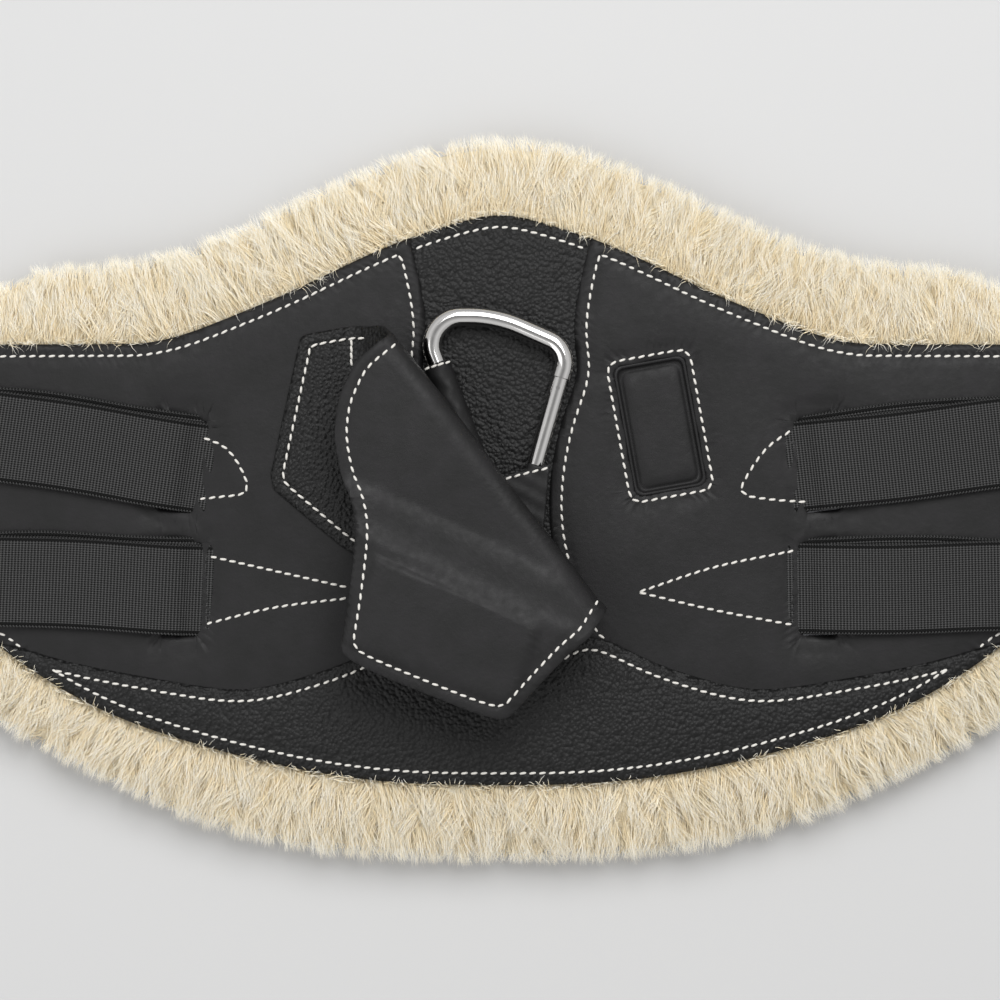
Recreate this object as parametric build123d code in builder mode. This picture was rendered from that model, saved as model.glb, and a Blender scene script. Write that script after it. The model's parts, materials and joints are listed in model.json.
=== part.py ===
from build123d import *
import os
from math import cos, pi, radians, sin, tan

# Short saddle girth, lying on its wool with the outer face up.
# Millimetres. +X runs along the girth, +Y is its front edge, +Z is up from the floor.
# The origin is on the floor, under the middle of the girth.

# ---- driving dimensions ----
body_half_length = 228.0      # leather body, middle to end
strip_front_y = 65.5          # straight part of the front edge
strip_rear_y = -59.5          # straight part of the rear edge
wool_end_x = 244.0            # wool at the two ends
wool_depth = 14.0             # wool squashed under the body
wool_rim_height = 21.0        # wool that stands up round the edge
wool_clear_z = 40.0           # above all the wool
pelt_overhang = 6.0
pelt_thickness = 1.4
lining_thickness = 1.2
foam_thickness = 7.4
leather = 1.6
overlap = 12.0                # one leather panel over the next

strap_width = 38.0
ply = 2.0                     # one layer of elastic
slit_x = 130.0                # where the elastics come out of the panels
front_slit_y = 14.5
rear_slit_y = -37.2
web_thickness = 1.4
web_width = 25.0
web_corner = 4.0

heel_x = 262.0                # buckle heel bar
buckle_wire = 2.3             # radius
heel_half = 22.8
nose_half = 17.6
buckle_reach = 32.0           # heel bar to roller bar
roller_radius = 4.2
roller_half = 11.6
tongue_wall = 1.9             # of its eye round the heel bar
tongue_half = 2.3             # half its width
floor_gap = 0.1               # under the strap's loop

bar_radius = 4.0              # carabiner bar
gate_radius = 3.5
gate_length = 45.0
rivet_radius = 1.3
latch_radius = 0.8
latch_back = 4.6              # from the nose to the latch pin
latch_half = 3.1
spring_pitch = 1.6
spring_length = 14.4
spring_radius = 1.45
spring_wire = 0.3
spring_offset = 8.0           # from the pivot
plunger_offset = 5.0
plunger_length = 2.6
plunger_radius = 1.85
bore_offset = 4.0             # hollow of the gate that holds the spring
bore_radius = 2.0
bore_length = 22.0
sleeve_wall = 1.4
soft_gap = 0.3                # between pieces that move past each other
pin_gap = 0.06                # radial clearance of a pin

flap_thickness = 2.6
flap_clearance = 0.4          # between the closed flap and the keeper
end_gap = 1.6                 # under the closed flap's end, filled by its magnet pad
roll_radius = 5.5             # middle surface of the fold
seat_magnet_thickness = 2.0
seat_magnet_size = (22.0, 46.0)
flap_magnet_thickness = 2.6
flap_magnet_size = (20.0, 44.0)
magnet_corner = 2.0
magnet_cover = 0.5            # leather left under the flap's magnet

# ---- heights of the layers ----
pelt_z = wool_depth
lining_z = pelt_z + pelt_thickness
foam_z = lining_z + lining_thickness
panel_z = foam_z + foam_thickness
panel_top = panel_z + leather
belly_top = panel_top + leather
strap_z = panel_top + ply     # middle of the doubled elastic
bar_z = panel_z + sleeve_wall + soft_gap + bar_radius
bridge_z = bar_z + bar_radius + 2 * sleeve_wall + soft_gap + flap_clearance + flap_thickness / 2
fold_z = bridge_z + roll_radius
heel_z = buckle_wire + soft_gap + ply + floor_gap

os.makedirs("parts", exist_ok=True)


def mirrored(points):
    """Half an edge, from one end to the middle, carried on to the other end."""
    return points + [(-x, y) for x, y in reversed(points[:-1])]


def save(name, builder):
    builder.part.label = name
    export_step(builder.part, f"parts/{name}.step")


# Edges of the leather body, from the right end to the middle.
front_half = [(160, 65.8), (137, 68.6), (115, 76.5), (87, 88.3)]
front_half += [(62, 100.2), (40, 109.6), (18, 116.8), (0, 120.0)]
rear_half = [(211, -60.6), (196, -71.6), (167, -88), (127, -102.4), (78, -114), (37, -118.8), (0, -119.5)]
# Edge of the grained crescent on top of the side panels.
crescent_half = [(205, -61), (177, -68.6), (138, -76), (105, -79), (82, -74)]
crescent_half += [(58, -65), (36, -57.5), (18, -66), (0, -73)]
# Edge of the grained centre panel, front to rear.
waist_right = [(38.2, 109.5), (33.5, 90), (31.5, 66), (32.4, 56), (28, 39.5)]
waist_right += [(22.6, 18.5), (21.8, -16), (30, -44), (36, -58)]
wool_front_half = [(213, 97.0), (158, 100.5), (120, 110.0), (85, 126), (50, 141.5), (16, 151.0), (0, 151.4)]
wool_rear_half = [(205, -97), (165, -118.5), (120, -137.5), (70, -148.5), (30, -151.0), (0, -151.4)]


def body_outline(grow=0.0):
    """The whole leather body, grown by a distance, as a face in the sketch that calls it."""
    end_x = body_half_length + grow
    front_y = strip_front_y + grow
    rear_y = strip_rear_y - grow
    front = mirrored([(x, y + grow) for x, y in front_half])
    rear = mirrored([(x, y - grow) for x, y in rear_half])
    corner = 14.0
    sag = 0.29 * corner
    with BuildLine() as edge:
        for side in (1, -1):
            end = side * end_x
            turn = side * (end_x - corner)
            mid = side * (end_x - sag)
            Line((end, front_y - corner), (end, rear_y + corner))
            ThreePointArc((end, front_y - corner), (mid, front_y - sag), (turn, front_y))
            ThreePointArc((end, rear_y + corner), (mid, rear_y + sag), (turn, rear_y))
            Line((turn, front_y), (side * front_half[0][0], front[0][1]))
            Line((turn, rear_y), (side * rear_half[0][0], rear[0][1]))
        Spline(*front)
        Spline(*rear)
    make_face(edge.edges())


# ---- elastics: each leaves a slit, lies on the panel, hangs over the end, round a heel bar ----
straps = {
    "left_front_elastic": (-1, front_slit_y, 8.9, 24.0),
    "left_rear_elastic": (-1, rear_slit_y, 2.6, 62.0),
    "right_front_elastic": (1, front_slit_y, 6.7, 24.0),
    "right_rear_elastic": (1, rear_slit_y, 0.8, 62.0),
}
tongue_slot = 7.6
slot_middle = -4.25           # along the strap, from the heel bar
slot_length = 23.5
slot_height = 17.0
slit_opening = (14.0, strap_width + 1)
slit_shift = 4.0              # the slit's middle lies this far beyond slit_x


def strap_frame(side, slit_y, tilt):
    """Directions of one strap: its far heel-bar centre, outward and across unit vectors."""
    reach = heel_x - slit_x
    along = Vector(side * cos(radians(tilt)), sin(radians(tilt)), 0)
    if slit_y < 0:
        along = Vector(along.X, abs(along.Y), 0)
    heel = Vector(side * heel_x, slit_y + reach * tan(radians(tilt)), heel_z)
    across = Vector(0, 0, 1).cross(along)
    return heel, along, across


def strap_side_plane(heel, along):
    """Upright plane through the strap: x runs outward, y runs up, the origin is over the heel bar."""
    return Plane(origin=(heel.X, heel.Y, 0), x_dir=along, z_dir=along.cross(Vector(0, 0, 1)))


# Where the elastic hangs over the body's end, along it from the heel bar and up from the floor.
drape_over = [(-30.4, strap_z + ply), (-21.4, 15.5), (-8, 8.0), (0, heel_z + 0.5 * ply)]
drape_under = [(-32.5, strap_z - ply), (-23.5, 11.5), (-9, heel_z - 0.5 * ply), (0, heel_z - 0.5 * ply)]

strap_parts = {}
strap_rooms = []              # the wool is pressed down in these
for name, (side, slit_y, tilt, tail) in straps.items():
    heel, along, across = strap_frame(side, slit_y, tilt)
    reach = (heel_x - slit_x) / cos(radians(tilt))
    hidden_z = panel_z - ply
    with BuildPart() as strap:
        with BuildSketch(strap_side_plane(heel, along)):
            with BuildLine():
                upper = FilletPolyline(
                    (-reach - tail, hidden_z + ply),
                    (-reach - 2, hidden_z + ply),
                    (-reach + 6, strap_z + ply),
                    *drape_over,
                    radius=1.8,
                )
                lower = FilletPolyline(
                    (-reach - tail, hidden_z - ply),
                    (-reach + 1, hidden_z - ply),
                    (-reach + 9, strap_z - ply),
                    *drape_under,
                    radius=1.8,
                )
                Line(upper @ 0, lower @ 0)
                Line(upper @ 1, lower @ 1)
            make_face()
            with Locations((0, heel_z)):
                Circle(buckle_wire + soft_gap + ply)
        extrude(amount=strap_width / 2, both=True)
        with BuildSketch(strap_side_plane(heel, along)):
            with Locations((0, heel_z)):
                Circle(buckle_wire + soft_gap)
        extrude(amount=strap_width, both=True, mode=Mode.SUBTRACT)
        # slot for the tongue, through the loop only
        with BuildSketch(Plane(origin=(heel.X, heel.Y, 0), x_dir=along, z_dir=(0, 0, 1))):
            with Locations((slot_middle, 0)):
                Rectangle(slot_length, tongue_slot)
        extrude(amount=slot_height, mode=Mode.SUBTRACT)
    save(name, strap)
    strap_parts[name] = strap.part
    with BuildPart() as room:
        with BuildSketch(strap_side_plane(heel, along)):
            with BuildLine():
                Polyline(*drape_under, (0, wool_clear_z), (drape_under[0][0], wool_clear_z), close=True)
            make_face()
        extrude(amount=strap_width / 2 + soft_gap, both=True)
    strap_rooms.append(room.part)

# ---- load webs, which tie the left elastics to the right ones under the leather ----
webs = {"front_load_web": (slit_x - 6, front_slit_y - 2), "rear_load_web": (slit_x - 20, rear_slit_y)}
web_parts = {}
for name, (half, y) in webs.items():
    with BuildPart() as web:
        with BuildSketch(Plane.XY.offset(panel_z - 2 * ply - web_thickness)):
            with Locations((0, y)):
                RectangleRounded(2 * half, web_width, web_corner)
        extrude(amount=web_thickness)
    save(name, web)
    web_parts[name] = web.part

# ---- centre panel, under the side panels ----
waist = [(x + overlap * 0.7, y) for x, y in waist_right]
centre_rear_y = -86.0         # under the belly panel
with BuildPart() as centre_panel:
    with BuildSketch(Plane.XY.offset(panel_z - leather)):
        body_outline()
        with BuildSketch(mode=Mode.INTERSECT):
            with BuildLine():
                right = Spline(*[(x, y + 1.0) for x, y in waist])
                left = Spline(*[(-x, y + 1.0) for x, y in waist])
                Polyline(left @ 1, (-34, centre_rear_y), (34, centre_rear_y), right @ 1)
                Line(right @ 0, (60, 140))
                Line((60, 140), (-60, 140))
                Line((-60, 140), left @ 0)
            make_face()
    extrude(amount=leather)
save("centre_panel", centre_panel)

# ---- magnet seat in the right panel ----
seat_centre = (67.2, 31.3)
seat_size = (28.5, 53.5)
seat_turn = 10.2              # degrees, its rear end leans to the right
seat_depth = 2.6
seat_corner = 2.5
seat_rim = 4.0                # how much wider the floor piece is than the window over it
seat_floor_thickness = 1.0
seat_across = (cos(radians(seat_turn)), sin(radians(seat_turn)), 0)
seat_plane = Plane(origin=(*seat_centre, 0), x_dir=seat_across, z_dir=(0, 0, 1))

# ---- side panels: smooth, from the centre panel's edge out to the ends ----
side_panels = {}
for side, name in ((-1, "left_panel"), (1, "right_panel")):
    with BuildPart() as panel:
        with BuildSketch(Plane.XY.offset(panel_z)):
            body_outline()
            with BuildSketch(mode=Mode.INTERSECT):
                with BuildLine():
                    inner = Spline(*[(side * x, y) for x, y in waist_right])
                    rear = Polyline(
                        inner @ 1,
                        (side * 58, -65 - overlap),
                        (side * 105, -79 - overlap),
                        (side * 177, -68.6 - overlap),
                        (side * 260, -58 - overlap),
                        (side * 260, 140),
                        (side * 40, 140),
                        inner @ 0,
                    )
                make_face()
        extrude(amount=leather)
        # slits for the two elastics
        for strap_name, (strap_side, slit_y, tilt, tail) in straps.items():
            if strap_side == side:
                slit_middle = (side * (slit_x + slit_shift), slit_y + slit_shift * tan(radians(tilt)), 0)
                with BuildSketch(Plane.XY.offset(panel_z)):
                    with Locations(Location(slit_middle, side * tilt)):
                        Rectangle(*slit_opening)
                extrude(amount=leather, mode=Mode.SUBTRACT)
        if side == 1:
            with BuildSketch(seat_plane.offset(panel_z)):
                RectangleRounded(*seat_size, seat_corner)
            extrude(amount=leather, mode=Mode.SUBTRACT)
    save(name, panel)
    side_panels[name] = panel.part

seat_low = panel_top - seat_depth - seat_floor_thickness
with BuildPart() as seat_floor:
    with BuildSketch(seat_plane.offset(seat_low)):
        RectangleRounded(seat_size[0] + seat_rim, seat_size[1] + seat_rim, seat_corner)
    extrude(amount=panel_z - seat_low)
    with BuildSketch(seat_plane.offset(panel_top - seat_depth)):
        RectangleRounded(*seat_size, seat_corner)
    extrude(amount=seat_depth, mode=Mode.SUBTRACT)
save("magnet_seat", seat_floor)

with BuildPart() as seat_magnet:
    with BuildSketch(seat_plane.offset(seat_low - seat_magnet_thickness)):
        RectangleRounded(*seat_magnet_size, magnet_corner)
    extrude(amount=seat_magnet_thickness)
save("seat_magnet", seat_magnet)

# ---- belly panel: grained crescent on top, along the rear edge ----
with BuildPart() as belly_panel:
    with BuildSketch(Plane.XY.offset(panel_z)):
        body_outline()
        with BuildSketch(mode=Mode.INTERSECT):
            with BuildLine():
                top = Spline(*mirrored(crescent_half))
                Polyline(top @ 0, (240, -56), (240, -140), (-240, -140), (-240, -56), top @ 1)
            make_face()
    extrude(amount=2 * leather)
    for name in side_panels:
        add(side_panels[name], mode=Mode.SUBTRACT)
save("belly_panel", belly_panel)

# ---- foam, cut round everything that is let into it ----
with BuildPart() as foam_pad:
    with BuildSketch(Plane.XY.offset(foam_z)):
        body_outline(-1.5)
    extrude(amount=foam_thickness)
    with BuildSketch(seat_plane.offset(panel_top - seat_depth)):
        RectangleRounded(seat_size[0] + seat_rim, seat_size[1] + seat_rim, seat_corner)
    extrude(amount=seat_depth, mode=Mode.SUBTRACT)
    add(centre_panel.part, mode=Mode.SUBTRACT)
    add(seat_floor.part, mode=Mode.SUBTRACT)
    add(seat_magnet.part, mode=Mode.SUBTRACT)
    for piece in (*strap_parts.values(), *web_parts.values()):
        add(piece, mode=Mode.SUBTRACT)
save("foam_pad", foam_pad)

with BuildPart() as back_lining:
    with BuildSketch(Plane.XY.offset(lining_z)):
        body_outline()
    extrude(amount=lining_thickness)
save("back_lining", back_lining)

with BuildPart() as pelt:
    with BuildSketch(Plane.XY.offset(pelt_z)):
        body_outline(pelt_overhang)
    extrude(amount=pelt_thickness)
save("sheepskin_pelt", pelt)


def wool_outline(grow):
    """Outer edge of the wool, grown by a distance in the sketch that calls it."""
    front = mirrored([(x, y + grow) for x, y in wool_front_half])
    rear = mirrored([(x, y - grow) for x, y in wool_rear_half])
    end = wool_end_x + grow
    with BuildLine() as edge:
        upper = Spline(*front)
        lower = Spline(*rear)
        for side, (a, b) in ((1, (upper @ 0, lower @ 0)), (-1, (upper @ 1, lower @ 1))):
            Spline(a, (side * end, 40), (side * end, 0), (side * end, -36), b)
    make_face(edge.edges())


# The rim bulges: three tiers, widest in the middle.
wool_tiers = ((0.0, 4.0, -5.0), (4.0, 9.0, 0.0), (13.0, 8.0, -6.0))
with BuildPart() as fleece:
    for low, tall, grow in wool_tiers:
        with BuildSketch(Plane.XY.offset(low)):
            wool_outline(grow)
        extrude(amount=tall)
    with BuildSketch(Plane.XY.offset(wool_depth)):
        body_outline(pelt_overhang)
    extrude(amount=pelt_thickness, mode=Mode.SUBTRACT)
    with BuildSketch(Plane.XY.offset(pelt_z + pelt_thickness)):
        body_outline(0.5)
    extrude(amount=wool_rim_height, mode=Mode.SUBTRACT)
    for piece in (*strap_parts.values(), *strap_rooms):
        add(piece, mode=Mode.SUBTRACT)
save("fleece_pile", fleece)

# ---- carabiner: pear-shaped bar, with a sprung gate down its right side ----
gate_pivot = Vector(12.9, 8.3, bar_z)
gate_along = Vector(0.2796, 0.9601, 0)
gate_side = Vector(gate_along.Y, -gate_along.X, 0)
nose = gate_pivot + gate_along * gate_length
tang_half = 1.5               # half the thickness of the bar's tongue in the gate's slot
with BuildPart() as carabiner_body:
    with BuildLine() as bar_path:
        FilletPolyline(
            nose,
            (29.4, 63.5, bar_z),
            (-2.5, 77.4, bar_z),
            (-33.8, 76.6, bar_z),
            (4.2, -22.2, bar_z),
            gate_pivot,
            radius=[10.5, 55, 12, 9.4],
        )
    with BuildSketch(Plane(origin=nose, z_dir=gate_along)):
        Circle(bar_radius)
    sweep()
    # flat tongue that the gate's fork turns on
    with BuildSketch(Plane(origin=gate_pivot - Vector(0, 0, tang_half), x_dir=gate_along, z_dir=(0, 0, 1))):
        Circle(gate_radius)
        with Locations((-3, 0)):
            Rectangle(6, 2 * gate_radius)
    tongue_face = extrude(amount=2 * tang_half, mode=Mode.PRIVATE)
    with BuildSketch(Plane(origin=gate_pivot - Vector(0, 0, bar_radius + 1), x_dir=gate_along)):
        with Locations((1, 0)):
            Rectangle(10.4, 12)
    extrude(amount=2 * bar_radius + 2, mode=Mode.SUBTRACT)
    add(tongue_face)
    with BuildSketch(Plane(origin=gate_pivot - Vector(0, 0, bar_radius), z_dir=(0, 0, 1))):
        Circle(rivet_radius + pin_gap)
    extrude(amount=2 * bar_radius, mode=Mode.SUBTRACT)
    # hooked nose tongue, open towards the inside for the latch pin
    hook_plane = Plane(origin=nose - Vector(0, 0, tang_half), x_dir=gate_side, z_dir=(0, 0, 1))
    with BuildSketch(hook_plane):
        with Locations((0.3, -4)):
            Rectangle(3.8, 9)
        with Locations((-0.8, -4.6)):
            Rectangle(3.6, 2.6, mode=Mode.SUBTRACT)
    extrude(amount=2 * tang_half)
save("carabiner_body", carabiner_body)

with BuildPart() as carabiner_gate:
    with BuildSketch(Plane(origin=gate_pivot, z_dir=gate_along)):
        Circle(gate_radius)
    extrude(amount=gate_length - soft_gap)
    fork_plane = Plane(origin=gate_pivot - Vector(0, 0, gate_radius), x_dir=gate_along, z_dir=(0, 0, 1))
    with BuildSketch(fork_plane):
        Circle(gate_radius)
    extrude(amount=2 * gate_radius)
    slot_half = tang_half + soft_gap
    with BuildSketch(Plane(origin=gate_pivot - Vector(0, 0, slot_half), x_dir=gate_along, z_dir=(0, 0, 1))):
        with Locations((0, 0)):
            Rectangle(9.6, 10)
        with Locations((gate_length - 3, -1.2)):
            Rectangle(13, 7.4)
    extrude(amount=2 * slot_half, mode=Mode.SUBTRACT)
    with BuildSketch(Plane(origin=gate_pivot + gate_along * bore_offset, z_dir=gate_along)):
        Circle(bore_radius)
    extrude(amount=bore_length, mode=Mode.SUBTRACT)
    for centre, radius in ((gate_pivot, rivet_radius), (nose - gate_along * latch_back, latch_radius)):
        with BuildSketch(Plane(origin=centre - Vector(0, 0, gate_radius + 1), z_dir=(0, 0, 1))):
            Circle(radius)
        extrude(amount=2 * gate_radius + 2, mode=Mode.SUBTRACT)
save("carabiner_gate", carabiner_gate)

with BuildPart() as gate_rivet:
    with BuildSketch(Plane(origin=gate_pivot - Vector(0, 0, gate_radius), z_dir=(0, 0, 1))):
        Circle(rivet_radius)
    extrude(amount=2 * gate_radius)
save("gate_rivet", gate_rivet)

with BuildPart() as latch_pin:
    with BuildSketch(Plane(origin=nose - gate_along * latch_back - Vector(0, 0, latch_half))):
        Circle(latch_radius)
    extrude(amount=2 * latch_half)
save("gate_latch_pin", latch_pin)

spring_start = gate_pivot + gate_along * spring_offset
with BuildPart() as gate_spring:
    with BuildLine():
        coil = Helix(
            pitch=spring_pitch,
            height=spring_length,
            radius=spring_radius,
            center=spring_start,
            direction=gate_along,
        )
    with BuildSketch(Plane(origin=coil @ 0, z_dir=coil % 0)):
        Circle(spring_wire)
    sweep(is_frenet=True)
save("gate_spring", gate_spring)

with BuildPart() as gate_plunger:
    with BuildSketch(Plane(origin=gate_pivot + gate_along * plunger_offset, z_dir=gate_along)):
        Circle(plunger_radius)
    extrude(amount=plunger_length)
save("gate_plunger", gate_plunger)

# ---- keeper: leather sleeve round the closed end of the carabiner, and its tab ----
keeper_tab = [(0.8, 10.2), (20.8, 15.2), (19.4, 0), (18, -14), (15, -48), (-7, -48), (-9, 2)]
with BuildPart() as keeper:
    with BuildLine() as sleeve_path:
        FilletPolyline(
            (-26.6, 57.6, bar_z),
            (4.2, -22.2, bar_z),
            (15.0, 15.0, bar_z),
            radius=9.4,
        )
    with BuildSketch(Plane(origin=sleeve_path.line @ 0, z_dir=sleeve_path.line % 0)):
        Circle(bar_radius + soft_gap + sleeve_wall)
    sweep()
    with BuildSketch(Plane.XY.offset(panel_z)):
        with BuildLine():
            Polyline(*keeper_tab, close=True)
        make_face()
    extrude(amount=2 * (bar_z - panel_z))
    with BuildSketch(Plane.XY.offset(panel_z + 2 * sleeve_wall)):
        with Locations((0, -34)):
            Rectangle(80, 40)
    extrude(amount=20, mode=Mode.SUBTRACT)
    with BuildLine() as hole_path:
        FilletPolyline(
            (-28.4, 62.3, bar_z),
            (4.2, -22.2, bar_z),
            (17.0, 22.4, bar_z),
            radius=9.4,
        )
    with BuildSketch(Plane(origin=hole_path.line @ 0, z_dir=hole_path.line % 0)):
        Circle(bar_radius + soft_gap)
    sweep(mode=Mode.SUBTRACT)
    # room for the gate to swing inwards
    with BuildSketch(Plane.XY.offset(bar_z - gate_radius - 0.6)):
        with BuildLine():
            Polyline((7.4, 3.4), (17.6, 1.0), (22.0, 22.0), (2.2, 22.0), (7.4, 3.4))
        make_face()
    extrude(amount=2 * (gate_radius + 0.6), mode=Mode.SUBTRACT)
save("carabiner_keeper", keeper)

# ---- cover flap ----
# It is folded over a slanting line. The fold's outer edge passes through fold_edge.
fold_turn = 52.5
fold_along = Vector(cos(radians(fold_turn)), -sin(radians(fold_turn)), 0)
fold_out = Vector(sin(radians(fold_turn)), cos(radians(fold_turn)), 0)
fold_edge = Vector(1.7, 9.5, 0)
roll_start = fold_edge - fold_out * (roll_radius + flap_thickness / 2)
hinge_point = roll_start + fold_out * (roll_radius * pi / 2) + Vector(0, 0, fold_z)
fold_axis = Axis(hinge_point, fold_along)

# Outline of the free end as it lies folded over, round from the fold's front end to its rear end.
free_end = [(-42, 67.5), (-52, 64.2), (-59, 57.8), (-64, 49), (-67, 39.7), (-68.4, 26), (-65, 10.3)]
free_end += [(-61.7, 0.6), (-59.6, -9.9), (-60.1, -21.2), (-62.6, -39.3)]
free_tip = [(-65.1, -56.5), (-64.3, -62.8), (-54.2, -69.5), (-23.9, -82.1)]
free_tip += [(-6.7, -88.4), (2.1, -89.7), (6.7, -86.3)]
# Corners of the magnet pad on it.
magnet_pad = [(-43.3, -27.9), (15.1, -51.9), (4.6, -83.4), (-60.1, -59.0)]
free_rear = [(6.7, -86.3), (18.9, -72.9), (29, -62.5), (39.5, -54.8), (44, -47)]


def unfold(x, y):
    """Where a point of the folded end lies, in plan, once the flap is closed."""
    rest = Vector(x, y, 0) - Vector(hinge_point.X, hinge_point.Y, 0)
    along = rest.dot(fold_along)
    away = rest.dot(fold_out)
    spot = Vector(hinge_point.X, hinge_point.Y, 0) + fold_along * along - fold_out * away
    return (spot.X, spot.Y)


def half_plane(side, gap):
    """A big face on one side of the fold: -1 is the sewn side, +1 the closing side."""
    base = roll_start + fold_out * (gap + side * 150)
    with BuildSketch(Plane(origin=(base.X, base.Y, 0), x_dir=fold_along), mode=Mode.PRIVATE) as area:
        Rectangle(400, 300)
    return area.sketch


half = flap_thickness / 2
# Outline of the sewn part, which the fold then cuts off.
sewn_edge = [(-83.2, 69.5), (-52, 73.3), (-43.7, 70.4), (-38, 66), (60, 66), (60, -60)]
sewn_edge += [(38, -50), (20, -48.5), (0, -47.8), (-33, -41.8), (-67.2, -18.7), (-95.8, 5.7), (-96.2, 11.1)]
with BuildPart() as flap_base:
    with BuildSketch(Plane.XZ.offset(-120)):
        with BuildLine():
            low = FilletPolyline(
                (-110, panel_top),
                (-62, panel_top),
                (-45, bridge_z - half),
                (60, bridge_z - half),
                radius=5,
            )
            high = FilletPolyline(
                (-110, panel_top + flap_thickness),
                (-63, panel_top + flap_thickness),
                (-46, bridge_z + half),
                (60, bridge_z + half),
                radius=5,
            )
            Line(low @ 0, high @ 0)
            Line(low @ 1, high @ 1)
        make_face()
    extrude(amount=260)
    with BuildSketch(Plane.XY):
        with BuildLine():
            Polyline(*sewn_edge, close=True)
        make_face()
        add(half_plane(-1, 0), mode=Mode.INTERSECT)
    extrude(amount=120, mode=Mode.INTERSECT)
save("flap_base", flap_base)

# The closing end: level over the carabiner, then a ramp down to the panel round the seat.
ramp_plane = Plane(
    origin=(*seat_centre, 0),
    x_dir=(cos(radians(seat_turn)), sin(radians(seat_turn)), 0),
    z_dir=(sin(radians(seat_turn)), -cos(radians(seat_turn)), 0),
)
ramp_low = -seat_size[0] / 2 - 3
magnet_low = panel_top + soft_gap + magnet_cover
ramp_high = ramp_low - 15
with BuildPart() as closed_end:
    with BuildSketch(ramp_plane.offset(-140)):
        with BuildLine():
            low = FilletPolyline(
                (-130, bridge_z - half),
                (ramp_high, bridge_z - half),
                (ramp_low, panel_top + end_gap),
                (50, panel_top + end_gap),
                radius=5,
            )
            high = FilletPolyline(
                (-130, bridge_z + half),
                (ramp_high + 1, bridge_z + half),
                (ramp_low + 1, panel_top + end_gap + flap_thickness),
                (50, panel_top + end_gap + flap_thickness),
                radius=5,
            )
            Line(low @ 0, high @ 0)
            Line(low @ 1, high @ 1)
        make_face()
    extrude(amount=280)
    with BuildSketch(Plane.XY):
        with BuildLine():
            Polyline(*[unfold(x, y) for x, y in free_end + free_tip + free_rear[1:]], close=True)
        make_face()
        add(half_plane(1, 2 * roll_radius * pi / 2), mode=Mode.INTERSECT)
    extrude(amount=120, mode=Mode.INTERSECT)
    # magnet pad on the lining side, which comes down on the seat
    with BuildSketch(Plane.XY.offset(panel_top + soft_gap)):
        with BuildLine():
            Polyline(*[unfold(x, y) for x, y in magnet_pad], close=True)
        make_face()
    extrude(amount=end_gap)
    with BuildSketch(seat_plane.offset(magnet_low)):
        RectangleRounded(*flap_magnet_size, magnet_corner)
    extrude(amount=flap_magnet_thickness, mode=Mode.SUBTRACT)

with BuildPart() as closed_magnet:
    with BuildSketch(seat_plane.offset(magnet_low)):
        RectangleRounded(*flap_magnet_size, magnet_corner)
    extrude(amount=flap_magnet_thickness)

with BuildPart() as flap_end:
    add(closed_end.part.rotate(fold_axis, 180))
save("flap_end", flap_end)

with BuildPart() as flap_magnet:
    add(closed_magnet.part.rotate(fold_axis, 180))
save("flap_magnet", flap_magnet)

# The fold itself, a half roll between the two.
fold_front = -69.0
fold_rear = 66.0
roll_centre = roll_start + fold_along * fold_front + Vector(0, 0, fold_z)
with BuildPart() as flap_bend:
    with BuildSketch(Plane(origin=roll_centre, x_dir=fold_out, z_dir=fold_along)):
        Circle(roll_radius + half)
        Circle(roll_radius - half, mode=Mode.SUBTRACT)
        with Locations((-20, 0)):
            Rectangle(40, 40, mode=Mode.SUBTRACT)
    extrude(amount=fold_rear - fold_front)
save("flap_bend", flap_bend)

# ---- buckles ----
corner = 5.0
heel_corner = 3.3
for name, (side, slit_y, tilt, tail) in straps.items():
    end = name.replace("_elastic", "")
    heel, along, across = strap_frame(side, slit_y, tilt)
    flat = Plane(origin=heel, x_dir=along, z_dir=(0, 0, 1))
    with BuildPart() as frame:
        with BuildLine(flat) as loop:
            FilletPolyline(
                (0, 0),
                (0, heel_half),
                (buckle_reach, nose_half),
                (buckle_reach, -nose_half),
                (0, -heel_half),
                (0, -1),
                radius=[heel_corner, corner, corner, heel_corner],
            )
            Line((0, -1), (0, 0))
        with BuildSketch(Plane(origin=heel, z_dir=loop.line % 0)):
            Circle(buckle_wire)
        sweep()
    save(f"{end}_buckle_frame", frame)

    with BuildPart() as roller:
        with BuildSketch(Plane(origin=heel + along * buckle_reach, z_dir=across)):
            Circle(roller_radius)
            Circle(buckle_wire + pin_gap, mode=Mode.SUBTRACT)
        extrude(amount=roller_half, both=True)
    save(f"{end}_buckle_roller", roller)

    with BuildPart() as tongue:
        with BuildSketch(Plane(origin=heel, x_dir=along, z_dir=along.cross(Vector(0, 0, 1)))):
            Circle(buckle_wire + tongue_wall)
            with BuildLine():
                Polyline(
                    (0, buckle_wire + tongue_wall),
                    (buckle_reach - 4, roller_radius + 3.4),
                    (buckle_reach + 2, roller_radius + 3.1),
                    (buckle_reach + 3.6, roller_radius + 1.2),
                    (buckle_reach + 3.2, roller_radius + 0.3),
                    (buckle_reach - 4, roller_radius + 0.3),
                    (2.6, buckle_wire + 0.8),
                    (0, 0),
                    close=True,
                )
            make_face()
            Circle(buckle_wire + pin_gap, mode=Mode.SUBTRACT)
        extrude(amount=tongue_half, both=True)
    save(f"{end}_buckle_tongue", tongue)
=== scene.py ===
import json
import math

import bmesh
import bpy
import numpy as np
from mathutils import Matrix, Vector
from mathutils.bvhtree import BVHTree


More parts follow.
